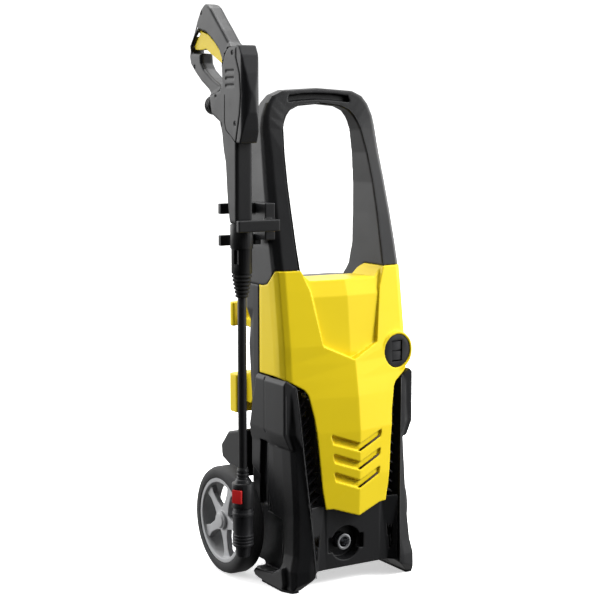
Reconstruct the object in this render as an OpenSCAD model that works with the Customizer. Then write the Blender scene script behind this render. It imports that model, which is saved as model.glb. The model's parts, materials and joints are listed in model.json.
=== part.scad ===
// Upright pressure washer on two wheels, with its trigger gun and lance parked in a clip on the left side.
// X runs to the machine's right, the front faces -Y and Z is up. The origin lies on the floor, under the middle of the
// machine's overall box; all dimensions below are taken from the machine's own mid-plane, which stands at place[0].

/* [Wheels] */

// Outer diameter of the tyres
wheel_d = 180; // [178:1:182]
// Width of the tyres
tyre_w = 38; // [36:1:38]
// Diameter of the axle
axle_d = 12; // [10:1:12]
// Distance of the axle behind the mid-plane of the front cover
axle_y = 85; // [84:1:86]

/* [Handle] */

// Height of the top of the handle above the floor
handle_top = 806; // [802:1:810]

/* [Body] */

// Wall thickness of the yellow front cover
wall = 3; // [2.6:0.1:3.4]
// Radius of the round switch housing
switch_r = 27.5; // [26:0.5:28.5]
// Depth of each chevron pocket in the front cover
vent_depth = 5; // [3:0.5:6]
// Radius of the round pocket for the pressure outlet
outlet_r = 28.5; // [27:0.5:29]

/* [Gun and lance] */

// Distance of the lance from the mid-plane of the machine
lance_x = 180; // [180:1:184]
// Radius of the lance tube
tube_r = 7; // [6:0.5:7.5]
// Radius of the nozzle body
nozzle_r = 17; // [16:0.5:17.5]

/* [Hidden] */

$fn = 64;
black = [0.11, 0.11, 0.12];
dark = [0.17, 0.17, 0.18];
yellow = [0.96, 0.82, 0.05];
grey = [0.45, 0.46, 0.48];
steel = [0.72, 0.73, 0.75];
red = [0.75, 0.08, 0.06];

place = [19, -60.5, 0]; // the machine's mid-plane and reference line from the origin
gap = 0.4;              // clearance between neighbouring solids
wheel_r = wheel_d / 2;
axle_z = wheel_r;
tyre_in = 124.5;        // inner face of each tyre from the mid-plane
axle_end = tyre_in + tyre_w - 1.5;
rim_r = 71;
arch_r = 98;
waist_x = 114;          // outer face of the side panels between the box and the foot
rail_x = 128;           // outer face of the foot rails
spoke_turn = 48;
side_x = 124;           // outer face of the side panels
cover_x = 122;          // outer face of the front cover
seat_z = 515;           // top edge of the cover at the front of each leg
shoulder_z = 490;       // top edge of the cover beside each leg
box_lo = 256;           // proud box on each side panel
box_hi = 340;
split_y = 28;           // joint between the front cover and the rear cover
switch_c = [94, -54.5, 375];
switch_turn = 6;
outlet_x = -14;
outlet_z = 69;
outlet_bore_r = 9;
panel_y = -74;
motor_y = 12;
lance_y = -27;
selector_turn = 27;     // the nozzle's button looks forwards by this angle
tank_y = 110.3;         // face of the tank against the rear cover
cap_x = 84;
hook_z = 405;           // swivel axis of the upper hook
hook_y = 122.4;         // face of the upper hook towards the rear cover

// ---- shared helpers -------------------------------------------------------

// Puts a piece where the machine stands
module placed() translate(place) children();

// Closed solid through rings of points, each ring having the same number of points
module skin(rings) {
  n = len(rings[0]);
  m = len(rings);
  pts = [for (r = rings) for (p = r) p];
  sides = [for (i = [0 : m - 2]) for (j = [0 : n - 1])
    each [[i * n + j, (i + 1) * n + (j + 1) % n, i * n + (j + 1) % n], [i * n + j, (i + 1) * n + j, (i + 1) * n + (j + 1) % n]]];
  polyhedron(points = pts, faces = concat([[for (j = [0 : n - 1]) j]], sides, [[for (j = [n - 1 : -1 : 0]) (m - 1) * n + j]]));
}

// Outline in Y and Z swept across X
module across_x(x0, x1, pts) {
  translate([x0, 0, 0]) rotate([90, 0, 90]) linear_extrude(x1 - x0) polygon(pts);
}

// Outline in X and Z swept along Y
module along_y(y0, y1, pts) {
  translate([0, y1, 0]) rotate([90, 0, 0]) linear_extrude(y1 - y0) polygon(pts);
}

module both() {
  children();
  mirror([1, 0, 0]) children();
}

module left_of() {
  mirror([1, 0, 0]) children();
}

function backwards(l) = [for (i = [len(l) - 1 : -1 : 0]) l[i]];
function at_z(pts, z) = [for (p = pts) [p[0], p[1], z]];

// Ring mirrored about X = 0: h runs from the rear to the front for X > 0, c is the point on the mid-plane
function full_ring(h, c) = concat([for (p = h) [-p[0], p[1]]], [c], [for (i = [len(h) - 1 : -1 : 0]) h[i]]);

// ---- handle ---------------------------------------------------------------

// Stations up one leg and over half of the arch: inner x and z, outer x and z, front y, width and depth of the outer chamfer,
// rear y at the inner edge and rear y at the outer edge
stations = [
  [79, 490.4, 121.5, 490.4, -44, 12, 17, 84, 74], [80, 513, 121, 513, -38, 12, 17, 66, 72], [81, 550, 120.5, 550, -29, 12, 17, 57, 70],
  [82, 600, 118.5, 600, -17, 12, 17, 57, 70], [82, 650, 116, 650, -4, 12, 17, 57, 69], [79, 700, 112.5, 700, 10, 12, 15, 57, 68],
  [74, 738, 110, 742, 22, 10, 12, 57, 66], [70, 750, 106, 762, 26, 8, 10, 57, 65], [64, 760, 98, 781, 29, 7, 9, 56, 63],
  [56, 769, 87, 794, 31, 6, 8, 56, 60], [40, 776, 68, 802, 32, 5, 7, 56, 57], [0, 779.5, 0, 806, 32, 5, 7, 56, 57]];
function lift(z) = z > 700 ? z + (handle_top - 806) : z;
function on_station(q, u, y) = [q[0] + (q[2] - q[0]) * u, y, lift(q[1] + (q[3] - q[1]) * u)];
function station_ring(q) = let(w = norm([q[2] - q[0], q[3] - q[1]]))
  [on_station(q, 0, q[7]), on_station(q, 0, q[4] + 1.5), on_station(q, 1.5 / w, q[4]), on_station(q, 1 - q[5] / w, q[4] + 3),
    on_station(q, 1 - 0.22 * q[5] / w, q[4] + q[6] * 0.68), on_station(q, 1, q[4] + q[6] + 3), on_station(q, 1, q[8] - 5), on_station(q, 1 - 4 / w, q[8])];

// Region under the top edge of the cover: the step down runs slanting from the outer side to the inner side of each leg
function step_y(x) = lookup(x, [[78, 20], [122, -29]]);
function shoulder_ring(x, d) = let(b = step_y(x))
  [[x, -140, 60], [x, 90, 60], [x, 90, shoulder_z - d], [x, b + 37, shoulder_z - d], [x, b + 23, shoulder_z + 3 - d], [x, b, seat_z - d], [x, -140, seat_z - d]];
module shoulder(d) both() skin([for (x = [0, 78, 122, 140]) shoulder_ring(x, d)]);

module handle_frame() color(black) placed() {
  difference() {
    both() skin([for (q = stations) station_ring(q)]);
    shoulder(-gap);
    // grip slot in the front of the bar
    along_y(20, 44, [for (q = grip_slot) [q[0], lift(q[1])]]);
  }
  both() translate([86, -22, 452]) cube([22, 70, 66]);
}

grip_slot = [[-60, 782.5], [-57, 793], [-30, 796.5], [0, 797], [30, 796.5], [57, 793], [60, 782.5], [30, 785.5], [0, 787], [-30, 785.5]];
grip_w = 60;
module handle_grip() color(dark) placed() {
  along_y(57 + gap, 62, [for (q = [[-grip_w, 779], [-grip_w, 797], [0, 801], [grip_w, 797], [grip_w, 779], [0, 783]]) [q[0], lift(q[1])]]);
  for (i = [-9 : 9]) translate([i * 6.4 - 1.4, 61.9, lift(785)]) cube([2.8, 1.6, 12]);
}

// ---- yellow front cover ---------------------------------------------------

function cover_y(z) = lookup(z, [[100, -91], [180, -94], [257, -95], [312, -89], [367, -79], [485, -60], [520, -54]]);
function cover_slope(z) = lookup(z, [[115, 0.14], [160, 0.17], [240, 0.225], [320, 0.235], [357, 0.22], [395, 0.19], [520, 0.17]]);
function cover_ring(z, t, back) = let(y = cover_y(z) + t, e = y + cover_slope(z) * 107)
  full_ring([[cover_x - 5 - t, back], [cover_x - 1.5 - t, back - 6], [cover_x - t, back - 15], [cover_x - t, e + 30], [cover_x - 1.5 - t, e + 15], [116.5 - t, e + 5], [107 - t / 2, e]], [0, y]);
module cover_solid(t, back, lo = 100, hi = 520)
  skin([for (z = [lo, 180, 257, 312, 340, 367, 395, 440, 485, hi]) at_z(cover_ring(z, t, back), z)]);

cover_outline = [[-130, 354], [-116, 343], [-88, 326], [-83, 318], [-75, 280], [-71, 240], [-68, 200], [-64, 160], [-59, 132], [-45, 131],
  [0, 116], [45, 131], [59, 132], [64, 160], [68, 200], [71, 240], [75, 280], [83, 318], [88, 326], [116, 343], [130, 354],
  [130, 530], [79, 530], [79, 514], [62, 498], [-62, 498], [-79, 514], [-79, 530], [-130, 530]];

// Sunken V-shaped panel at the top of the cover
function recess_floor(z) = lookup(z, [[350, -62], [381, -64], [472, -54], [495, -46], [530, -34]]);
module recess(g) intersection() {
  along_y(-150, 60, [[-84 - g, 530], [-79 - g, 515], [-66 - g, 483], [-51 - g, 394 - g / 2], [0, 371 - g], [51 + g, 394 - g / 2], [66 + g, 483], [79 + g, 515], [84 + g, 530]]);
  skin([for (z = [350, 381, 472, 495, 535]) [[-110, -150, z], [110, -150, z], [110, recess_floor(z) + g + 11, z], [0, recess_floor(z) + g, z], [-110, recess_floor(z) + g + 11, z]]]);
}

module chevrons()
  for (i = [0 : 2]) let(x = 48.5 - 2.2 * i, z = 253 - 30.5 * i)
    along_y(-120, -60, [[-x, z], [0, z - 17], [x, z], [x - 2, z - 12], [0, z - 30], [3 - x, z - 15]]);

module switch_place() translate(switch_c) rotate([0, 0, switch_turn]) rotate([90, 0, 0]) children();

vent_block = [[-54, 154], [-56, 262], [56, 262], [54, 154]];
module cover_hollow(t) intersection() {
  cover_solid(t, split_y + 20, 95, 521);
  shoulder(wall);
  along_y(-140, 60, [[-140, 60], [-140, 530], [-82, 530], [-82, 513], [-64, 498 - wall], [64, 498 - wall], [82, 513], [82, 530], [140, 530], [140, 60]]);
}

module front_cover() color(yellow) placed()
  difference() {
    union() {
      difference() {
        intersection() {
          cover_solid(0, split_y);
          along_y(-140, 60, cover_outline);
          shoulder(0);
        }
        recess(0);
        difference() {
          cover_hollow(wall);
          recess(wall);
          along_y(-140, 60, vent_block);
        }
        intersection() {
          cover_hollow(wall + 6);
          along_y(-140, 60, vent_block);
        }
        difference() {
          chevrons();
          cover_solid(vent_depth, split_y);
        }
        both() translate([85, -23, 480]) cube([24, 60, 60]);
      }
      switch_place() translate([0, 0, -20]) cylinder(r = switch_r + 5, h = 27);
      // inner wall of each tower, behind the joint with the rear cover
      intersection() {
        both() translate([79, 20, shoulder_z + gap]) cube([3, 24, 30]);
        shoulder(0);
      }
    }
    switch_place() translate([0, 0, -40]) cylinder(r = switch_r + gap, h = 60);
  }

module switch_housing() color(black) placed()
  switch_place() difference() {
    translate([0, 0, -19]) cylinder(r = switch_r, h = 24.5);
    translate([-11, -17.5, -12]) cube([22, 35, 24]);
    translate([-13.5, 0, -4]) rotate([0, 90, 0]) cylinder(r = rocker_pin + 0.05, h = 27);
  }

rocker_pin = 2.5;
module switch_rocker() color(grey) placed()
  switch_place() {
    difference() {
      intersection() {
        translate([-10.3, -16.4, -7]) cube([20.6, 32.8, 10.5]);
        rotate([0, 90, 0]) translate([10, 0, -15]) cylinder(r = 20.5, h = 30);
      }
      translate([-15, -1.2, -0.5]) cube([30, 2.4, 8]);
    }
    translate([-13, 0, -4]) rotate([0, 90, 0]) cylinder(r = rocker_pin, h = 26);
  }

// ---- side panels ----------------------------------------------------------

function ridge_x(z) = lookup(z, [[0, 82], [20, 82], [100, 85], [200, 92], [300, 99], [352, 103]]);
function ridge_y(z) = lookup(z, [[0, -91], [20, -91], [100, -85], [200, -75], [300, -66], [352, -60]]);
function panel_ring(z, x) = let(r = ridge_x(z), y = ridge_y(z), s = x - side_x)
  [[r - 6, 60], [r - 6, y + 22], [r, y], [r + 10 + s, y + 1], [114 + s, y + 7], [119 + s, y + 17], [122 + s, y + 38], [x, y + 64], [x, 60]];
module panel_body() skin([for (q = [[4, side_x], [36, side_x], [60, 118], [121, waist_x], [box_lo - 26, waist_x], [box_lo, side_x], [300, side_x], [box_hi, side_x], [350, 116.5]])
  at_z(panel_ring(q[0], q[1]), q[0])]);
// Rear edge of each side panel in Y and Z, from the top down
rear_edge = [[26, 353], [30, 335], [50, box_lo + 1], [60, box_lo - 20]];
// Low rail along the foot, reaching back to the tyre
module foot_rail() difference() {
  across_x(106, rail_x, [[-60, 4], [-64, 12], [-60, 40], [-50, 34], [-30, 24], [4, 21], [26, 19], [33, 12], [27, 6], [14, 4]]);
  across_x(115, 122, [[-44, 26], [-40, 22], [-4, 18], [0, 24], [-10, 40], [-44, 40]]);
}

module side_panel() {
  difference() {
    union() {
      panel_body();
      along_y(-62, 50, [[108, box_lo - 26], [waist_x, box_lo - 24], [side_x + 0.5, box_lo], [side_x + 0.5, box_hi - 2], [119, box_hi + 5], [108, box_hi + 5]]);
    }
    // inside of the shell
    intersection() {
      translate([60, -56, -1]) cube([42, 130, 344]);
      across_x(60, 120, [[-30, -1], [-56, 40], [-50, 250], [-40, 343], [70, 343], [70, -1]]);
    }
    // upright groove between the column and the rear edge
    across_x(105, 140, [[7, 124], [7, box_lo - 22], [30, box_lo - 22], [36, 150], [36, 124]]);
    // pocket behind the foot of the column
    across_x(106, 140, [[36, 124], [8, 124], [8, 117], [-38, 113], [-48, 44], [-44, 34], [-20, 24], [4, 21], [62, 21], [62, 124]]);
    // wheel arch above the foot
    intersection() {
      translate([waist_x - 2, axle_y, axle_z]) rotate([0, 90, 0]) cylinder(r = arch_r, h = 40);
      translate([100, -60, 36]) cube([60, 150, 300]);
    }
    // slanting rear edge beside the box
    across_x(60, 140, concat(rear_edge, [[62, box_lo - 20], [90, 300], [60, 353]]));
    // edge that follows the lower edge of the front cover
    along_y(-140, split_y + gap, [[60, 315], [82.5, 316], [88, 324.6], [116, 341.6], [130, 352.6], [130, 400], [60, 400]]);
    // groove in the box
    translate([side_x - 3, -1.5, box_lo - 5]) cube([6, 3, box_hi - box_lo + 14]);
    // underside of the foot
    along_y(-120, 80, [[60, -1], [60, 44], [76, 30], [104, 4], [104, -1]]);
    across_x(60, 140, [[-110, -1], [-110, 40], [-92, 24], [-78, 4], [-78, -1]]);
    across_x(60, 140, [[14, -1], [14, 4], [34, 26], [70, 26], [70, -1]]);
    translate([60, -120, -1]) cube([90, 200, 5]);
  }
  foot_rail();
}

module side_panel_right() color(black) placed() side_panel();
module side_panel_left() color(black) placed() left_of() side_panel();

module foot_pads() color(dark) placed()
  both() linear_extrude(4 - gap / 8) polygon([[105, -76], [117, -76], [rail_x - 2, -56], [rail_x - 2, 8], [105, 8]]);

// ---- front, louvres and rear ----------------------------------------------

module lower_front_panel() color(black) placed()
  difference() {
    union() {
      translate([-52, panel_y, 29]) cube([104, 3, 108]);
      both() skin([[[51, -74, 29], [68, -75, 29], [80, -87, 29], [79, -81, 29], [66, -70, 29], [51, -71, 29]],
        [[51, -74, 137], [56, -73, 137], [84.5, -80, 137], [84, -75, 137], [56, -69, 137], [51, -71, 137]]]);
      translate([outlet_x, panel_y + 1, outlet_z]) rotate([-90, 0, 0]) cylinder(r = outlet_r + 3, h = 24);
      translate([outlet_x - 36, panel_y + 1, outlet_z - 15]) cube([72, 14, 30]);
    }
    translate([outlet_x, panel_y - 3, outlet_z]) rotate([-90, 0, 0]) cylinder(r = outlet_r, h = 25);
    translate([outlet_x - 34, panel_y - 3, outlet_z - 12.5]) cube([68, 15, 25]);
    translate([outlet_x, panel_y - 3, outlet_z]) rotate([-90, 0, 0]) cylinder(r = 12.3, h = 60);
  }

function louvre_y(z) = -70 + (z - 138) * 0.075;
function louvre_in(z) = 61 + (z - 138) * 0.115;
function louvre_out(z) = ridge_x(z) - 8;
module louvre() {
  // slanting fins in front of a back plate
  for (i = [0 : 10]) let(z = 140 + 15.8 * i, x0 = louvre_in(z), x1 = louvre_out(z))
    along_y(louvre_y(z), louvre_y(z) + 13, [[x0, z + 12], [x0, z + 14.5], [x1, z + 2.5], [x1, z]]);
  skin([for (z = [138, 200, 260, 322]) let(y = louvre_y(z) + 12, x0 = louvre_in(z), x1 = louvre_out(z) + 1.4)
    [[x0, y, z], [x1, y, z], [x1, y + 3, z], [x0, y + 3, z]]]);
}
module louvre_right() color(dark) placed() louvre();
module louvre_left() color(dark) placed() left_of() louvre();

function rear_grow(z) = lookup(z, [[30, -4], [275, -4], [342, 0], [385, 2], [425, -1], [446, 7], [490, 7]]);
function rear_ring(z, t, y0) = let(d = rear_grow(z) - t)
  backwards(full_ring([[side_x - 6 - t, y0], [side_x - 6 - t, 46], [112 + d * 0.7, 66 + d * 0.3], [102 + d * 0.7, 85 + d * 0.7], [88 + d * 0.7, 103 + d], [74 + d * 0.5, 112 + d]], [0, 114 + d]));
module rear_solid(t, y0, zs) skin([for (z = zs) at_z(rear_ring(z, t, y0), z)]);

module rear_cover() color(black) placed()
  difference() {
    union() {
      rear_solid(0, split_y + gap, [37, 275, 342, 385, 425, 446, shoulder_z]);
      // pad and pin for the swivelling upper hook
      translate([0, 106, hook_z]) rotate([-90, 0, 0]) cylinder(r = 14, h = 16);
      translate([0, 106, hook_z]) rotate([-90, 0, 0]) cylinder(r = 6, h = 34);
    }
    rear_solid(3, split_y - 10, [30, 275, 342, 385, 425, 446, shoulder_z - 4]);
    // room for the side panels
    both() translate([0, gap, 0]) across_x(60, 140, concat([[20, 20], [20, 353]], rear_edge, [[60, 20]]));
    // passage for the axle and the hook sockets
    translate([-140, axle_y, axle_z]) rotate([0, 90, 0]) cylinder(r = axle_d / 2 + 0.2, h = 280);
    // cooling slots
    for (i = [-3 : 3]) translate([i * 16 - 2, 90, 340]) cube([4, 40, 30]);
    // legs' plugs
    both() translate([84, -30, shoulder_z - 10]) cube([26, 80, 30]);
    // water inlet and cord gland
    translate([-55, 90, 60]) rotate([-90, 0, 0]) cylinder(r = 12.2, h = 40);
    translate([56, 90, 460]) rotate([-90, 0, 0]) cylinder(r = 8.2, h = 40);
  }

module base_tray() color(black) placed()
  difference() {
    union() {
      translate([-74, -66, 30]) cube([148, 172, 4]);
      for (x = [-74, 68]) translate([x, 68, 34]) cube([6, 30, 70]);
    }
    translate([-140, axle_y, axle_z]) rotate([0, 90, 0]) cylinder(r = axle_d / 2, h = 280);
  }

// ---- tank, inlet, gland and hooks -----------------------------------------

module detergent_tank() color(black) placed()
  difference() {
    across_x(-105, 105, [[tank_y, 232], [122, 231], [159, 222], [186, 194], [183, 173], [144, 159], [tank_y, 150]]);
    translate([cap_x, 146, 205]) cylinder(r = 16, h = 40);
    across_x(-102, 102, [[tank_y + 3, 205.5], [157, 205.5], [180, 190], [180, 175], [143, 162], [tank_y + 3, 154]]);
  }

module tank_cap() color(yellow) placed()
  translate([cap_x, 146, 0]) {
    translate([0, 0, 208]) cylinder(r = 15.7, h = 24);
    translate([0, 0, 232]) cylinder(r = 21, h = 14);
    for (a = [0 : 30 : 330]) rotate([0, 0, a]) translate([20, -1.5, 233]) cube([2.4, 3, 12]);
  }

module water_inlet() color(grey) placed()
  translate([-55, 98, 60]) rotate([-90, 0, 0]) difference() {
    union() {
      cylinder(r = 12, h = 38);
      translate([0, 0, 15.4]) cylinder(r = 16, h = 4);
    }
    translate([0, 0, -1]) cylinder(r = 8, h = 50);
  }

module inlet_filter() color(steel) placed()
  translate([-55, 98, 60]) rotate([-90, 0, 0]) difference() {
    translate([0, 0, 4]) cylinder(r = 7.8, h = 28);
    translate([0, 0, 6]) cylinder(r = 6.4, h = 40);
  }

module cord_gland() color(black) placed()
  translate([56, 108, 460]) rotate([-90, 0, 0]) difference() {
    union() {
      cylinder(r = 8, h = 12);
      translate([0, 0, 13]) cylinder(r = 12, h = 5);
      translate([0, 0, 12]) cylinder(r = 8, h = 28);
      for (i = [0 : 3]) translate([0, 0, 21 + i * 5]) cylinder(r = 9.2, h = 2.2);
    }
    translate([0, 0, -1]) cylinder(r = 4, h = 60);
  }

module outlet_fitting() color(steel) placed()
  translate([outlet_x, panel_y + 6, outlet_z]) rotate([-90, 0, 0]) difference() {
    union() {
      cylinder(r = 13, h = 8);
      cylinder(r = 12, h = 38);
    }
    translate([0, 0, -1]) cylinder(r = outlet_bore_r, h = 27);
  }

// Wide rounded lip at the end of a hook, from z0 to z1, with its ends reaching from y1 - deep to y1
module hook_lip(z0, z1, y1, deep) {
  half = [[66, y1 - deep + 4], [75, y1 - deep], [77, y1 - deep + 4], [77, y1 - 8], [73, y1], [55, y1 + 4], [30, y1 + 6]];
  translate([0, 0, z0]) linear_extrude(z1 - z0) polygon(backwards(concat(half, backwards([for (q = half) [-q[0], q[1]]]))));
}

module hook_lower() color(yellow) placed()
  difference() {
    union() {
      across_x(-60, 60, [[111.2, 290], [113.4, 326], [150, 326], [176, 316], [190, 312], [190, 270], [172, 266], [158, 266], [146, 286], [130, 290]]);
      hook_lip(247, 314, 210, 31);
    }
    translate([-52, 124, 250]) cube([104, 48, 90]);
    translate([-66, 188, 240]) cube([132, 16, 70]);
  }

module hook_upper() color(yellow) placed()
  difference() {
    union() {
      across_x(-60, 60, [[hook_y, 396], [hook_y, 414], [194, 412], [194, 400]]);
      hook_lip(398, 440, 208, 18);
    }
    translate([0, 110, hook_z]) rotate([-90, 0, 0]) cylinder(r = 6.05, h = 31);
    translate([-50, 150, 380]) cube([100, 38, 50]);
  }

// ---- gun clip -------------------------------------------------------------

module gun_holder() color(black) placed()
  left_of() {
    translate([121, -30, 566]) cube([18, 56, 58]);
    along_y(-10, 20, [[119.7, 575], [118.7, 600], [117.95, 615], [122.8, 615], [122.8, 575]]);
    // front finger
    translate([136, -58, 582]) cube([66, 8, 18]);
    translate([128, -58, 582]) cube([12, 32, 18]);
    // rear fingers
    for (z = [557, 607]) {
      translate([128, 4, z]) cube([72, 9, 17]);
      translate([128, 2, z]) cube([12, 22, 17]);
    }
  }

// ---- screws ---------------------------------------------------------------

module case_screw(p, r) translate(p) rotate(r) difference() {
  cylinder(r = 3.4, h = 2.2);
  translate([-0.5, -2.4, 1.2]) cube([1, 4.8, 2]);
  translate([-2.4, -0.5, 1.2]) cube([4.8, 1, 2]);
}
module case_screws() color(steel) placed() {
  both() for (q = [[34, 120.4, 476], [68, 112.2, 333]]) case_screw(q, [-90, 0, 0]);
}

// ---- wheels ---------------------------------------------------------------

module axle() color(steel) placed()
  translate([-axle_end, axle_y, axle_z]) rotate([0, 90, 0]) cylinder(r = axle_d / 2, h = 2 * axle_end);

module axle_washers() color(steel) placed()
  both() translate([0, axle_y, axle_z]) rotate([0, 90, 0]) difference() {
    translate([0, 0, 118.4]) cylinder(r = 12, h = 3.6);
    translate([0, 0, 110]) cylinder(r = axle_d / 2, h = 20);
  }

module wheel_place(side) translate([0, axle_y, axle_z]) rotate([0, 90 * side, 0]) children();

module tyre() rotate_extrude($fn = 96)
  polygon([[rim_r + gap / 8, tyre_in], [wheel_r - 7, tyre_in], [wheel_r - 2.5, tyre_in + 3], [wheel_r, tyre_in + 9], [wheel_r, tyre_in + tyre_w - 9],
    [wheel_r - 2.5, tyre_in + tyre_w - 3], [wheel_r - 7, tyre_in + tyre_w], [rim_r + gap / 8, tyre_in + tyre_w]]);

module rim() difference() {
  union() {
    rotate_extrude($fn = 96) polygon([[rim_r - 5, tyre_in + 1], [rim_r, tyre_in + 1], [rim_r, tyre_in + tyre_w - 1], [rim_r - 7, tyre_in + tyre_w - 1], [rim_r - 8, tyre_in + tyre_w - 5], [rim_r - 6, tyre_in + 12]]);
    translate([0, 0, tyre_in]) cylinder(r = 15, h = tyre_w - 4);
    for (a = [0 : 72 : 288]) rotate([0, 0, a + spoke_turn]) translate([0, 0, tyre_in + tyre_w - 16])
      linear_extrude(10) polygon([[5, -12], [17, -12], [30, -8], [50, -7], [rim_r - 3, -13], [rim_r - 3, 13], [50, 7], [30, 8], [17, 12], [5, 12]]);
  }
  translate([0, 0, tyre_in - 1]) cylinder(r = axle_d / 2 + 0.05, h = tyre_w + 2);
}

module hubcap() difference() {
  union() {
    translate([0, 0, tyre_in + tyre_w - 4 + gap / 8]) cylinder(r = 15, h = 3);
    translate([0, 0, tyre_in + tyre_w - 2]) cylinder(r1 = 14.6, r2 = 11, h = 4);
  }
  translate([0, 0, tyre_in + tyre_w - 5]) cylinder(r = axle_d / 2 + 0.5, h = 4.5);
}

module tyre_right() color(black) placed() wheel_place(1) tyre();
module tyre_left() color(black) placed() wheel_place(-1) tyre();
module rim_right() color(grey) placed() wheel_place(1) rim();
module rim_left() color(grey) placed() wheel_place(-1) rim();
module hubcap_right() color(grey) placed() wheel_place(1) hubcap();
module hubcap_left() color(grey) placed() wheel_place(-1) hubcap();

// ---- motor and pump -------------------------------------------------------

module motor_body() color(steel) placed()
  translate([0, motor_y, 0]) difference() {
    union() {
      translate([0, 0, 178]) cylinder(r = 52, h = 120);
      for (a = [0 : 20 : 340]) rotate([0, 0, a]) translate([51, -1.5, 190]) cube([5, 3, 96]);
    }
    translate([0, 0, 170]) cylinder(r = 8.05, h = 140);
    translate([0, 0, 186]) cylinder(r = 40, h = 104);
  }

module motor_shaft() color(steel) placed()
  translate([0, motor_y, 0]) {
    translate([0, 0, 130]) cylinder(r = 8, h = 200);
    translate([0, 0, 188]) cylinder(r = 39.4, h = 100);
    translate([0, 0, 142]) cylinder(r = 30, h = 12);
  }

module motor_fan() color(dark) placed()
  translate([0, motor_y, 302]) difference() {
    union() {
      cylinder(r = 18, h = 18);
      for (a = [0 : 40 : 320]) rotate([0, 0, a]) translate([16, -1.2, 1]) rotate([35, 0, 0]) cube([32, 2.4, 16]);
    }
    translate([0, 0, -10]) cylinder(r = 8, h = 50);
  }

module pump_body() color(steel) placed()
  translate([0, motor_y, 0]) difference() {
    union() {
      translate([0, 0, 96]) cylinder(r = 46, h = 70);
      translate([0, 0, 166]) cylinder(r = 54, h = 11.6);
    }
    translate([0, 0, 134]) cylinder(r = 38, h = 26);
    translate([0, 0, 125]) cylinder(r = 8.05, h = 60);
  }

module pump_head() color(steel) placed()
  translate([0, motor_y, 0]) difference() {
    union() {
      translate([0, 0, 44]) cylinder(r = 40, h = 51.6);
      for (a = [45 : 90 : 315]) rotate([0, 0, a]) translate([32, 0, 34]) cylinder(r = 6, h = 24);
    }
    translate([outlet_x, 0, outlet_z]) rotate([90, 0, 0]) cylinder(r = 9, h = 60);
  }

module outlet_pipe() color(steel) placed()
  translate([outlet_x, 0, outlet_z]) rotate([90, 0, 0]) translate([0, 0, 12]) difference() {
    cylinder(r = 8.8, h = 14);
    translate([0, 0, -1]) cylinder(r = 5, h = 20);
  }

module inlet_pipe() color(black) placed()
  translate([-55, 0, 60]) rotate([-90, 0, 0]) difference() {
    translate([0, 0, 44]) cylinder(r = 8.6, h = 53.8);
    translate([0, 0, 40]) cylinder(r = 6, h = 60);
  }

module capacitor() color(grey) placed()
  translate([-76, 74, 330]) {
    cylinder(r = 17, h = 70);
    translate([0, 0, 70]) cylinder(r = 14, h = 4);
  }

// ---- gun and lance --------------------------------------------------------

// Outlines of the gun in Y and Z
gun_body = [[-40, 866], [-40, 848], [-51, 824], [-54.6, 792], [-50.5, 762], [-43.5, 738], [-38, 719], [-37, 593], [-14, 593], [-11.5, 600], [-6, 631],
  [-0.5, 688], [6, 707], [10.5, 733], [17, 750], [43, 762], [48, 775], [50, 792], [16, 800], [8, 806], [8, 838], [0, 855], [-12, 866]];
gun_grip = [[-21, 866], [-9, 873], [11, 892], [31, 910], [51, 929], [60, 934], [71, 936], [83, 929], [96, 912], [109, 889], [119, 872], [124, 855], [120, 843],
  [105, 830], [84, 815], [58, 801], [50, 793], [16, 780], [-30, 780], [-44, 800], [-38, 840]];
gun_opening = [[9, 838], [16, 850], [24, 862], [43, 877], [66, 890], [90, 896], [104, 884], [116, 871], [112, 861], [84, 859], [82, 844], [73, 834], [47, 819], [22, 808], [9.6, 804]];
trigger_slot = [[6, 848], [8, 862], [18, 874], [39, 886], [63, 897], [80, 908], [95, 911], [106, 905], [108, 890], [118, 871], [110, 860], [80, 862], [50, 852], [14, 836]];
trigger_axis = [0, 93, 898];
body_w = 15;            // half thickness of the gun's body
grip_half = 12;         // half thickness of its grip and guard

module gun_profile(x0, x1) difference() {
  union() {
    across_x(x0 * body_w, x1 * body_w, gun_body);
    across_x(x0 * grip_half, x1 * grip_half, gun_grip);
  }
  across_x(-20, 20, gun_opening);
}

// Screw positions in Y and Z, and the half thickness of the shell there
gun_screw_at = [[-27, 856, body_w], [-34, 748, body_w], [10, 746, body_w], [80, 922, grip_half], [104, 838, grip_half], [28, 792, body_w]];

module gun_half(x0, x1) difference() {
  gun_profile(x0, x1);
  across_x(-7.6, 7.6, trigger_slot);
  // trigger pin
  translate(trigger_axis - [12, 0, 0]) rotate([0, 90, 0]) cylinder(r = 2.5, h = 24);
  // vent slots
  for (i = [0 : 2], x = [-body_w - 1, body_w - 1.4]) translate([x, -32, 826 - 11 * i]) cube([2.4, 27, 4.5]);
  // bore for the hose inlet nut's spigot
  translate([0, 22, 777]) rotate([-90, 0, 0]) cylinder(r = 6.05, h = 60);
  // screw pits
  for (q = gun_screw_at) translate([-q[2] - 1, q[0], q[1]]) rotate([0, 90, 0]) cylinder(r = 3, h = 4);
}

module gun_at() translate([-lance_x, 0, 0]) children();

module gun_shell_left() color(black) placed() gun_at() gun_half(-1, -0.003);
module gun_shell_right() color(black) placed() gun_at() gun_half(0.003, 1);

// Rounded grey-black cover over the front of the gun's body
module gun_spine() color(dark) placed() gun_at()
  intersection() {
    across_x(-15.5, 15.5, [[-38.4, 718.4], [-43.9, 738], [-50.9, 762], [-55, 792], [-51.4, 824], [-40.4, 848], [-40.4, 868], [-48, 867], [-56, 852], [-62, 825],
      [-65.5, 795], [-64, 765], [-58, 738], [-50, 718.4]]);
    union() {
      translate([0, -49, 700]) cylinder(r = 16.5, h = 180);
      translate([-20, -49, 700]) cube([40, 60, 180]);
    }
  }

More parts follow.
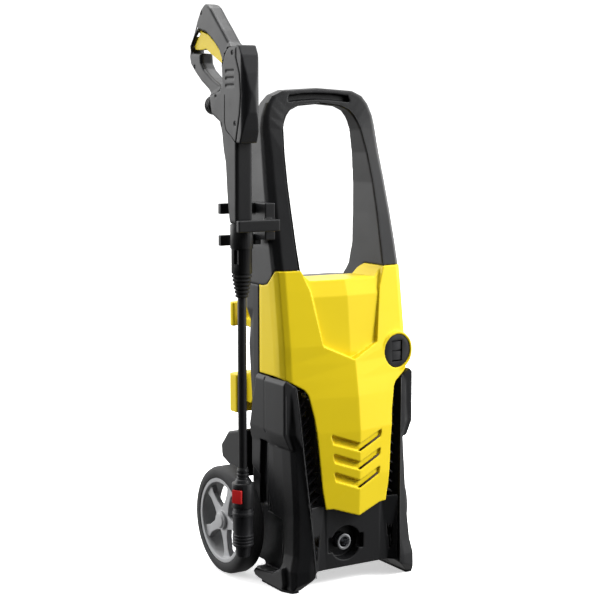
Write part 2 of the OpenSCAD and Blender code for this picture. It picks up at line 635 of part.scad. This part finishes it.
module trigger() color(yellow) placed() gun_at()
  difference() {
    union() {
      across_x(-7, 7, [[18, 840], [17.5, 848.5], [26, 860], [44, 874.5], [66, 887.5], [89, 893.5], [102, 882], [113, 871], [108.5, 865.5], [84, 864.5], [74, 866], [56, 857], [36, 848]]);
      translate(trigger_axis - [7, 0, 0]) rotate([0, 90, 0]) cylinder(r = 7, h = 14);
    }
    translate(trigger_axis - [20, 0, 0]) rotate([0, 90, 0]) cylinder(r = 2.55, h = 40);
  }

module trigger_pin() color(steel) placed() gun_at()
  translate(trigger_axis - [11.5, 0, 0]) rotate([0, 90, 0]) cylinder(r = 2.5, h = 23);

module gun_inlet_nut() color(black) placed() gun_at()
  translate([0, 50.5, 777]) rotate([-90, 0, 0]) difference() {
    union() {
      cylinder(r = 14, h = 16);
      translate([0, 0, -10]) cylinder(r = 6, h = 12);
      for (i = [0 : 2]) translate([0, 0, 2 + 5 * i]) cylinder(r = 15, h = 2.4);
    }
    translate([0, 0, 2]) cylinder(r = 8, h = 20);
  }

module gun_screws() color(dark) placed() gun_at()
  for (q = gun_screw_at) translate([-q[2] + 0.8, q[0], q[1]]) rotate([0, 90, 0]) difference() {
    cylinder(r = 2.6, h = 2.2);
    translate([-0.4, -3, -1]) cube([0.8, 6, 1.8]);
  }

module lance_at(z) translate([-lance_x, lance_y, z]) children();

module lance_adapter() color(black) placed()
  lance_at(0) difference() {
    union() {
      translate([0, 0, 555]) cylinder(r = 18, h = 37.6);
      translate([0, 0, 516]) cylinder(r = 16.3, h = 39.4);
    }
    translate([-18, -12, 531]) cube([6, 8, 22]);
    translate([0, 0, 500]) cylinder(r = tube_r, h = 60);
  }

module bend_guard() color(black) placed()
  lance_at(0) difference() {
    rotate_extrude() polygon([[0, 478], for (i = [0 : 5]) each [[8.5 + i * 1.1, 478 + i * 6.2], [10.5 + i * 1.1, 479 + i * 6.2], [10.5 + i * 1.1, 482 + i * 6.2], [8.5 + i * 1.1, 483 + i * 6.2]], [14.5, 515.6], [0, 515.6]]);
    translate([0, 0, 470]) cylinder(r = tube_r, h = 60);
  }

module lance_tube() color(dark) placed()
  lance_at(0) difference() {
    translate([0, 0, 170]) cylinder(r = tube_r, h = 389);
    translate([0, 0, 160]) cylinder(r = 4, h = 420);
  }

module nozzle_body() color(black) placed()
  lance_at(0) difference() {
    union() {
      translate([0, 0, 141]) cylinder(r = nozzle_r + 0.3, h = 40);
      translate([0, 0, 181]) cylinder(r1 = 14, r2 = 11, h = 6);
      for (i = [0 : 2]) translate([0, 0, 186 + i * 6]) cylinder(r = 9.8 - i * 0.3, h = 4.5);
      translate([0, 0, 186]) cylinder(r = 8.6, h = 19);
      translate([0, 0, 68]) cylinder(r = 9, h = 74);
    }
    translate([0, 0, 170]) cylinder(r = tube_r, h = 60);
    translate([0, 0, 60]) cylinder(r = 3, h = 130);
    rotate([0, 0, selector_turn]) translate([-20, -8.9, 150]) cube([10, 17.8, 22]);
  }

module nozzle_selector() color(red) placed()
  lance_at(0) rotate([0, 0, selector_turn]) translate([-18.4, -8.5, 150.3]) cube([6.2, 17, 21.4]);

module nozzle_sleeve() color(black) placed()
  lance_at(0) difference() {
    union() {
      translate([0, 0, 78]) cylinder(r = nozzle_r - 1, h = 62.6);
      translate([0, 0, 128]) cylinder(r = nozzle_r, h = 6);
      for (i = [0 : 3]) translate([0, 0, 80 + i * 5]) cylinder(r = nozzle_r, h = 2.6);
    }
    translate([0, 0, 60]) cylinder(r = 9.05, h = 90);
  }

module nozzle_tip() color(black) placed()
  lance_at(0) difference() {
    translate([0, 0, 61]) cylinder(r1 = 11, r2 = 12.5, h = 16.6);
    translate([0, 0, 60]) cylinder(r1 = 6, r2 = 3, h = 8);
    translate([0, 0, 67]) cylinder(r = 9.05, h = 20);
  }

handle_frame();
handle_grip();
front_cover();
side_panel_left();
side_panel_right();
lower_front_panel();
louvre_left();
louvre_right();
rear_cover();
base_tray();
foot_pads();
detergent_tank();
tank_cap();
outlet_fitting();
water_inlet();
inlet_filter();
cord_gland();
switch_housing();
switch_rocker();
hook_upper();
hook_lower();
gun_holder();
case_screws();
axle();
axle_washers();
tyre_left();
rim_left();
hubcap_left();
tyre_right();
rim_right();
hubcap_right();
motor_body();
motor_shaft();
motor_fan();
capacitor();
pump_body();
pump_head();
outlet_pipe();
inlet_pipe();
gun_shell_left();
gun_shell_right();
gun_spine();
trigger();
trigger_pin();
gun_inlet_nut();
gun_screws();
lance_adapter();
bend_guard();
lance_tube();
nozzle_body();
nozzle_selector();
nozzle_sleeve();
nozzle_tip();
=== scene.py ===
"""Pressure washer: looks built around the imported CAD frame."""

import json
import math

import bmesh
import bpy
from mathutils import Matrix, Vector


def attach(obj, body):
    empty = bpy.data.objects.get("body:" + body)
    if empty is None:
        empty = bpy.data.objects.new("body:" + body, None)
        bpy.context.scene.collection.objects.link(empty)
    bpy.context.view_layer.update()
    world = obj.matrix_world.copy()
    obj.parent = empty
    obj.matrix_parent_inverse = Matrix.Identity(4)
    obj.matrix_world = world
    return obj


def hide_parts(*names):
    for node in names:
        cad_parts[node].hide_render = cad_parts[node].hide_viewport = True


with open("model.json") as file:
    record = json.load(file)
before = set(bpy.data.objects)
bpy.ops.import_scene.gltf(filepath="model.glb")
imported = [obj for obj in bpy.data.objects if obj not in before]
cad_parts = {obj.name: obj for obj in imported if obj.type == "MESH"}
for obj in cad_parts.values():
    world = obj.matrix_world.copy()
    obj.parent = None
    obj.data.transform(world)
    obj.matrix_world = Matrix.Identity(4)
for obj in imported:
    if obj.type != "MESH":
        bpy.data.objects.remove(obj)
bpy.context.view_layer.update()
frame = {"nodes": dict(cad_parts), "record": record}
NODES = frame["nodes"]
BODY = {n: b for b, ns in frame["record"]["behaviour"]["bodies"].items() for n in ns}
SLOT = {s["node"]: s["material_slot"] for s in frame["record"]["subparts"]}
scene = bpy.context.scene
# the machine's mid-plane and reference line, seen from the frame's origin
PLACE = Vector((0.019, -0.0605, 0.0))
WELD = 1e-5

# ---------------------------------------------------------------- camera
YAW, PITCH = math.radians(31.34), math.radians(7.09)
CAMERA_AT = Vector((-1.290, -2.0249, 0.7578))
LENS_MM, SENSOR_MM = 88.1, 36.0
CLIP_END = 300.0
cam_data = bpy.data.cameras.new("camera")
cam_data.lens = LENS_MM
cam_data.sensor_width = SENSOR_MM
cam_data.clip_end = CLIP_END
camera = bpy.data.objects.new("camera", cam_data)
camera.location = PLACE + CAMERA_AT
camera.rotation_euler = (math.pi / 2 - PITCH, 0.0, -YAW)
scene.collection.objects.link(camera)
scene.camera = camera
scene.view_settings.view_transform = "Standard"


# ---------------------------------------------------------------- materials
def node_tree(name):
    m = bpy.data.materials.new(name)
    m.use_nodes = True
    t = m.node_tree
    t.nodes.clear()
    out = t.nodes.new("ShaderNodeOutputMaterial")
    sh = t.nodes.new("ShaderNodeBsdfPrincipled")
    t.links.new(sh.outputs["BSDF"], out.inputs["Surface"])
    return m, t, sh


def noise(t, scale, detail=2.0, coord=None, stretch=None):
    n = t.nodes.new("ShaderNodeTexNoise")
    n.inputs["Scale"].default_value = scale
    n.inputs["Detail"].default_value = detail
    if stretch:
        mp = t.nodes.new("ShaderNodeMapping")
        mp.inputs["Scale"].default_value = stretch
        t.links.new(coord, mp.inputs["Vector"])
        coord = mp.outputs["Vector"]
    t.links.new(coord, n.inputs["Vector"])
    return n.outputs["Fac"]


def ramp(t, fac, stops):
    r = t.nodes.new("ShaderNodeValToRGB")
    e = r.color_ramp.elements
    e[0].position, e[0].color = stops[0][0], (*stops[0][1], 1.0)
    e[1].position, e[1].color = stops[-1][0], (*stops[-1][1], 1.0)
    for p, c in stops[1:-1]:
        x = e.new(p)
        x.color = (*c, 1.0)
    t.links.new(fac, r.inputs["Fac"])
    return r.outputs["Color"]


def tone(c, k):
    return tuple(min(1.0, v * k) for v in c)


def span(t, fac, lo, hi):
    m = t.nodes.new("ShaderNodeMapRange")
    m.inputs["To Min"].default_value = lo
    m.inputs["To Max"].default_value = hi
    t.links.new(fac, m.inputs["Value"])
    return m.outputs["Result"]


BROAD_SCALE, SPOT_SCALE, SMEAR_SCALE = 9.0, 160.0, 28.0
BUMP_DEPTH = 0.0002
COAT_ROUGHNESS = 0.15


def plastic(name, colour, rough=0.42, grain=2600.0, bump=0.12, wear=0.25,
            coat=0.0, spec=0.5, spread=0.12, metallic=0.0, stretch=None):
    """Moulded plastic, rubber or metal.

    Two close tones, fine grain, uneven gloss, and edges rubbed a little lighter.
    """
    m, t, sh = node_tree(name)
    tc = t.nodes.new("ShaderNodeTexCoord").outputs["Object"]
    broad = noise(t, BROAD_SCALE, 3.0, tc)
    tones = [(0.3, tone(colour, 1 - spread)), (0.7, tone(colour, 1 + spread))]
    base = ramp(t, broad, tones)
    geo = t.nodes.new("ShaderNodeNewGeometry")
    edge = ramp(t, geo.outputs["Pointiness"], [(0.5, (0, 0, 0)), (0.56, (1, 1, 1))])
    spots = noise(t, SPOT_SCALE, 4.0, tc)
    mask = t.nodes.new("ShaderNodeMath")
    mask.operation = "MULTIPLY"
    t.links.new(edge, mask.inputs[0])
    t.links.new(span(t, spots, 0.0, wear), mask.inputs[1])
    mix = t.nodes.new("ShaderNodeMixRGB")
    rubbed = [min(1.0, v * 1.25 + 0.06) for v in colour]
    mix.inputs["Color2"].default_value = (*rubbed, 1.0)
    t.links.new(mask.outputs[0], mix.inputs["Fac"])
    t.links.new(base, mix.inputs["Color1"])
    t.links.new(mix.outputs["Color"], sh.inputs["Base Color"])
    smear = noise(t, SMEAR_SCALE, 4.0, tc)
    t.links.new(span(t, smear, rough - 0.06, rough + 0.08), sh.inputs["Roughness"])
    fine = noise(t, grain, 2.0, tc, stretch)
    b = t.nodes.new("ShaderNodeBump")
    b.inputs["Strength"].default_value = bump
    b.inputs["Distance"].default_value = BUMP_DEPTH
    t.links.new(fine, b.inputs["Height"])
    t.links.new(b.outputs["Normal"], sh.inputs["Normal"])
    sh.inputs["Specular IOR Level"].default_value = spec
    sh.inputs["Metallic"].default_value = metallic
    sh.inputs["Coat Weight"].default_value = coat
    sh.inputs["Coat Roughness"].default_value = COAT_ROUGHNESS
    return m


MAT = {
    "black_plastic": plastic("black_plastic", (0.0095, 0.0097, 0.0105), 0.34, wear=0.25),
    "soft_grip": plastic(
        "soft_grip", (0.009, 0.009, 0.0095), 0.60, grain=1800.0, bump=0.25,
    ),
    "yellow_plastic": plastic(
        "yellow_plastic", (0.77, 0.585, 0.012), 0.36, bump=0.05, wear=0.06, spec=0.35,
        spread=0.02,
    ),
    "dark_plastic": plastic("dark_plastic", (0.013, 0.0132, 0.0145), 0.36, wear=0.25),
    "grey_plastic": plastic(
        "grey_plastic", (0.40, 0.404, 0.412), 0.42, wear=0.2, spread=0.06,
    ),
    "tyre_black": plastic(
        "tyre_black", (0.022, 0.022, 0.023), 0.62, grain=900.0, bump=0.35, spread=0.25,
    ),
    "foot_rubber": plastic(
        "foot_rubber", (0.010, 0.010, 0.011), 0.8, grain=1200.0, bump=0.3,
    ),
    "bright_steel": plastic(
        "bright_steel", (0.62, 0.63, 0.65), 0.25, grain=500.0, bump=0.10, spread=0.06,
        metallic=1.0, stretch=(1, 1, 12),
    ),
    "dark_steel": plastic(
        "dark_steel", (0.02, 0.02, 0.022), 0.4, grain=500.0, bump=0.10, spread=0.10,
        metallic=0.6,
    ),
    "cast_aluminium": plastic(
        "cast_aluminium", (0.55, 0.56, 0.57), 0.5, grain=700.0, bump=0.3, metallic=1.0,
    ),
    "brass_parts": plastic(
        "brass_parts", (0.60, 0.42, 0.16), 0.32, grain=700.0, bump=0.1, metallic=1.0,
    ),
    "red_plastic": plastic(
        "red_plastic", (0.50, 0.012, 0.012), 0.30, bump=0.05, coat=0.2, spread=0.05,
    ),
}
# near-black: painted shade in the leg grooves, and also the colour of the seams on the
# gun
GROOVE_SHADE_AND_SEAM = plastic("groove_shade_and_seam_black", (0.004, 0.004, 0.004), 0.55)
# painted shade: dark brown for the shade inside the vent slits of the yellow cover
BROWN_SHADOW = plastic("vent_shadow", (0.030, 0.014, 0.003), 0.6)
# painted highlight: a grey lighter than the black plastic, for thin lines along the
# panel edges
PAINTED_EDGE_HIGHLIGHT = plastic("painted_edge_highlight", (0.055, 0.056, 0.058), 0.30)


# ---------------------------------------------------------------- pieces
def apply_mods(ob):
    dg = bpy.context.evaluated_depsgraph_get()
    me = bpy.data.meshes.new_from_object(ob.evaluated_get(dg))
    ob.modifiers.clear()
    ob.data = me


GUN_X = -0.180          # the gun's middle plane
FLAT_HALF = 0.0115      # its flat sides start this far out
SHORTEST_EDGE = 0.006
SHARP = 0.9
VENTS_Z, VENTS_Y = (0.800, 0.835), (-0.036, -0.002)


def round_profile(bm, width):
    """Round the long edges along the two flat sides of a profile swept across X."""
    bmesh.ops.remove_doubles(bm, verts=bm.verts, dist=WELD)
    mid = PLACE.x + GUN_X
    edges = []
    for e in bm.edges:
        if len(e.link_faces) != 2 or e.calc_length() < SHORTEST_EDGE:
            continue
        p = (e.verts[0].co + e.verts[1].co) / 2
        y = p.y - PLACE.y
        in_vents = VENTS_Z[0] < p.z < VENTS_Z[1] and VENTS_Y[0] < y < VENTS_Y[1]
        sharp = e.calc_face_angle(0.0) > SHARP
        if abs(p.x - mid) > FLAT_HALF and sharp and not in_vents:
            edges.append(e)
    bmesh.ops.bevel(
        bm, geom=edges, offset=width, segments=3, profile=0.5, affect="EDGES"
    )


def moulded(name, nodes, voxel, smooth, rounding):
    """The nodes' shape as one moulding with softly rounded edges."""
    bm = bmesh.new()
    for n in nodes:
        bm.from_mesh(NODES[n].data)
    if rounding:
        round_profile(bm, rounding)
    me = bpy.data.meshes.new(name)
    bm.to_mesh(me)
    bm.free()
    ob = bpy.data.objects.new(name, me)
    scene.collection.objects.link(ob)
    w = ob.modifiers.new("weld", "WELD")
    w.merge_threshold = WELD
    r = ob.modifiers.new("remesh", "REMESH")
    r.mode = "VOXEL"
    r.voxel_size = voxel
    s = ob.modifiers.new("smooth", "SMOOTH")
    s.factor = 0.5
    s.iterations = smooth
    apply_mods(ob)
    for p in ob.data.polygons:
        p.use_smooth = True
    ob.data.materials.clear()
    ob.data.materials.append(MAT[SLOT[nodes[0]]])
    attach(ob, BODY[nodes[0]])
    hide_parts(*nodes)


EDGE_BREAK = 0.0006
EDGE_ANGLE = math.radians(35)


def finished(node):
    """A machined or turned node: its own mesh, with small broken edges."""
    ob = NODES[node]
    ob.data.materials.clear()
    ob.data.materials.append(MAT[SLOT[node]])
    for p in ob.data.polygons:
        p.use_smooth = True
    w = ob.modifiers.new("weld", "WELD")
    w.merge_threshold = WELD
    b = ob.modifiers.new("bevel", "BEVEL")
    b.width = EDGE_BREAK
    b.segments = 2
    b.limit_method = "ANGLE"
    b.angle_limit = EDGE_ANGLE
    b.harden_normals = True


# name, nodes it replaces, voxel size in metres, smoothing turns
MOULDINGS = [
    ("handle", ["handle_frame"], 0.0012, 8),
    ("cover", ["front_cover"], 0.0012, 5),
    ("left_panel", ["side_panel_left"], 0.0012, 6),
    ("right_panel", ["side_panel_right"], 0.0012, 6),
    ("back_cover", ["rear_cover"], 0.0016, 6),
    ("outlet_panel", ["lower_front_panel"], 0.0010, 4),
    ("tank", ["detergent_tank"], 0.0016, 8),
    ("cable_hook_upper", ["hook_upper"], 0.0012, 8),
    ("cable_hook_lower", ["hook_lower"], 0.0012, 8),
    ("gun_clip", ["gun_holder"], 0.0009, 5),
    ("gun_body", ["gun_shell_left", "gun_shell_right"], 0.0009, 9),
    ("gun_front", ["gun_spine"], 0.0009, 16),
    ("trigger_lever", ["trigger"], 0.0007, 5),
    ("rim_a", ["rim_left"], 0.0009, 5),
    ("rim_b", ["rim_right"], 0.0009, 5),
]
ROUNDING = {"gun_body": 0.0045}
done = set()
for name, nodes, size, turns in MOULDINGS:
    moulded(name, nodes, size, turns, ROUNDING.get(name, 0.0))
    done.update(nodes)
for n in NODES:
    if n not in done:
        finished(n)


# ---------------------------------------------------------------- small details
def mm(*p):
    return PLACE + Vector([v / 1000.0 for v in p])


def add_mesh(name, verts, faces, mat, node):
    me = bpy.data.meshes.new(name)
    me.from_pydata([tuple(v) for v in verts], [], faces)
    me.validate()
    ob = bpy.data.objects.new(name, me)
    scene.collection.objects.link(ob)
    for p in me.polygons:
        p.use_smooth = True
    me.materials.append(mat)
    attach(ob, BODY[node])


TUBE_SIDES = 8


def tube(name, pts, r, mat, node):
    """Thin round line through points in millimetres."""
    sides = TUBE_SIDES
    pts = [mm(*p) for p in pts]
    verts, faces = [], []
    for i, p in enumerate(pts):
        d = (pts[min(i + 1, len(pts) - 1)] - pts[max(i - 1, 0)]).normalized()
        up = Vector((0, 0, 1)) if abs(d.z) < 0.9 else Vector((1, 0, 0))
        u = d.cross(up).normalized()
        v = d.cross(u)
        for k in range(sides):
            a = 2 * math.pi * k / sides
            verts.append(p + (u * math.cos(a) + v * math.sin(a)) * (r / 1000.0))
    for i in range(len(pts) - 1):
        for k in range(sides):
            a, b = i * sides + k, i * sides + (k + 1) % sides
            faces.append((a, b, b + sides, a + sides))
    faces.append(tuple(range(sides - 1, -1, -1)))
    faces.append(tuple((len(pts) - 1) * sides + k for k in range(sides)))
    add_mesh(name, verts, faces, mat, node)


def lerp_table(z, table):
    for (z0, v0), (z1, v1) in zip(table, table[1:]):
        if z <= z1:
            return v0 + (v1 - v0) * (z - z0) / (z1 - z0)
    return table[-1][1]


# painted shade: a near-black line along the inner edge of each leg and round under the
# bar, where shade lies in the groove
LEG_EDGE = [
    (80, -43, 493), (81, -38.5, 515), (82, -29, 550), (83, -17, 600),
    (83, -4, 650), (80.5, 10, 700), (75.5, 22, 738), (71.5, 26, 752),
    (65.5, 29, 762.5), (57, 31, 771), (41, 32, 778), (0, 32, 781.5),
]
SIDES = ((-1, "left"), (1, "right"))
GROOVE_BACK, GROOVE_R = 0.6, 1.3
for side, word in SIDES:
    line = [(side * x, y + GROOVE_BACK, z) for x, y, z in LEG_EDGE]
    tube("leg_groove_shade_" + word, line, GROOVE_R, GROOVE_SHADE_AND_SEAM, "handle_frame")

# seams on both flat sides of the gun
SEAM = [(-1.3, 793), (-0.7, 750), (-6, 738), (-24, 727.5), (-37, 718.5)]
SEAM_R = 0.7
for name, x, node in (
    ("gun_seam", -195, "gun_shell_left"),
    ("gun_seam_right", -165, "gun_shell_right"),
):
    tube(name, [(x, y, z) for y, z in SEAM], SEAM_R, GROOVE_SHADE_AND_SEAM, node)

# dark brown lines painted as the shade inside open slits along the lower edges of the
# chevron vents, on the right half;
# (height, front at the middle) and (height, slope towards the sides) in mm
COVER_Y = [(100, -91), (180, -94), (257, -95), (312, -89)]
COVER_SLOPE = [(115, 0.14), (160, 0.17), (240, 0.225), (320, 0.235)]


def cover_front(x, z):
    return lerp_table(z, COVER_Y) + lerp_table(z, COVER_SLOPE) * abs(x)


SLIT_IN, SLIT_R = 2.4, 1.8
for i in range(3):
    cx, cz = 48.5 - 2.2 * i, 253 - 30.5 * i
    line = ((1.5, cz - 27.6), (cx * 0.5, cz - 19.2), (cx - 4, cz - 11.2))
    line = [(x, cover_front(x, z) + SLIT_IN, z) for x, z in line]
    tube("vent_slit_%d" % i, line, SLIT_R, BROWN_SHADOW, "front_cover")

# painted highlights: thin grey lines, lighter than the black plastic, along the edges of
# the side panels where their rounded edges catch light
EDGE_HIGHLIGHT_LINES = {
    "ridge": [
        (82, -91, 24), (85, -85, 100), (92, -75, 200), (99, -66, 300),
        (101.5, -62.5, 330),
    ],
    "box_front": [
        (119.8, -61.0, 336), (120.6, -61.5, 300), (120.6, -61.8, 262),
        (118.4, -61.0, 254), (112.5, -48, 238), (113.0, -20, 231),
        (113.8, 5, 231),
    ],
    "column_rear": [(113.7, 6.6, 230), (113.7, 6.6, 180), (113.7, 6.8, 126)],
    "pocket_front": [
        (113.6, 6, 117.5), (112.4, -20, 115.5), (110.8, -37.6, 113.5),
        (115.2, -43, 78), (118.6, -46.5, 50),
    ],
}
EDGE_HIGHLIGHT_R = 0.8
for highlight_line, points in EDGE_HIGHLIGHT_LINES.items():
    for side, word in SIDES:
        line = [(side * x, y, z) for x, y, z in points]
        tube("bead_%s_%s" % (highlight_line, word), line, EDGE_HIGHLIGHT_R, PAINTED_EDGE_HIGHLIGHT, "side_panel_" + word)


# ---------------------------------------------------------------- studio
def area(name, at, target, size, power):
    d = bpy.data.lights.new(name, "AREA")
    d.shape = "RECTANGLE"
    d.size, d.size_y = size
    d.energy = power
    o = bpy.data.objects.new(name, d)
    o.location = at
    aim = Vector(target) - Vector(at)
    o.rotation_euler = aim.to_track_quat("-Z", "Y").to_euler()
    scene.collection.objects.link(o)
    return o


def soft_sun(name, energy, degrees, rotation):
    d = bpy.data.lights.new(name, "SUN")
    d.energy = energy
    d.angle = math.radians(degrees)
    o = bpy.data.objects.new(name, d)
    o.rotation_euler = rotation
    scene.collection.objects.link(o)
    return o


MID = (0.0, 0.0, 0.45)
key = area("key", (2.4, -2.0, 2.4), MID, (1.2, 1.2), 135.0)
area("top", (0.0, 0.6, 3.0), MID, (2.0, 1.2), 45.0)
sun = soft_sun("sun", 1.6, 60, (math.radians(38), 0.0, math.radians(35)))
FROM_LEFT = Vector((0.85, -0.45, -0.30)).to_track_quat("-Z", "Y").to_euler()
side_sun = soft_sun("side_sun", 2.3, 40, FROM_LEFT)
for light in (key, sun, side_sun):
    light.visible_glossy = False

# brightness of the surroundings by direction, going round from the left:
# 0.25 is the front, 0.5 the right, 0.75 the back
AROUND = [
    (0.0, 0.02), (0.15, 0.03), (0.30, 0.04), (0.325, 0.4), (0.36, 1.3),
    (0.43, 1.4), (0.48, 1.9), (0.53, 1.9), (0.58, 1.1), (0.78, 1.2),
    (0.82, 2.5), (0.88, 1.8), (0.91, 0.10), (1.0, 0.02),
]
HORIZON_Z, HORIZON_LIGHT = (-0.13, 0.0), (0.22, 1.1)
world = bpy.data.worlds.new("studio")
scene.world = world
world.use_nodes = True
wt = world.node_tree
wt.nodes.clear()
wo = wt.nodes.new("ShaderNodeOutputWorld")
bg = wt.nodes.new("ShaderNodeBackground")
wc = wt.nodes.new("ShaderNodeTexCoord")
wg = wt.nodes.new("ShaderNodeTexGradient")
wg.gradient_type = "RADIAL"
wt.links.new(wc.outputs["Generated"], wg.inputs["Vector"])
sides = ramp(wt, wg.outputs["Fac"], [(p, (v, v, v)) for p, v in AROUND])
wt.links.new(sides, bg.inputs["Color"])
wx = wt.nodes.new("ShaderNodeSeparateXYZ")
wt.links.new(wc.outputs["Generated"], wx.inputs["Vector"])
dim = wt.nodes.new("ShaderNodeMapRange")
dim.inputs["From Min"].default_value = HORIZON_Z[0]
dim.inputs["From Max"].default_value = HORIZON_Z[1]
dim.inputs["To Min"].default_value = HORIZON_LIGHT[0]
dim.inputs["To Max"].default_value = HORIZON_LIGHT[1]
wt.links.new(wx.outputs["Z"], dim.inputs["Value"])
wt.links.new(dim.outputs["Result"], bg.inputs["Strength"])
wt.links.new(bg.outputs["Background"], wo.inputs["Surface"])

FLOOR_HALF, FLOOR_GLOW = 100.0, 0.55
bm = bmesh.new()
bmesh.ops.create_grid(bm, x_segments=1, y_segments=1, size=FLOOR_HALF)
floor_me = bpy.data.meshes.new("floor")
bm.to_mesh(floor_me)
bm.free()
floor = bpy.data.objects.new("floor", floor_me)
scene.collection.objects.link(floor)
fm, ft, fs = node_tree("floor_white")
fs.inputs["Roughness"].default_value = 0.9
fs.inputs["Specular IOR Level"].default_value = 0.1
fs.inputs["Emission Color"].default_value = (1, 1, 1, 1)
fs.inputs["Emission Strength"].default_value = FLOOR_GLOW
floor_coord = ft.nodes.new("ShaderNodeTexCoord").outputs["Object"]
FLOOR_TONES = [(0.3, (0.93, 0.93, 0.93)), (0.7, (0.95, 0.95, 0.95))]
fc = ramp(ft, noise(ft, 3.0, 2.0, floor_coord), FLOOR_TONES)
ft.links.new(fc, fs.inputs["Base Color"])
floor_me.materials.append(fm)
floor.visible_diffuse = False
floor.visible_glossy = False
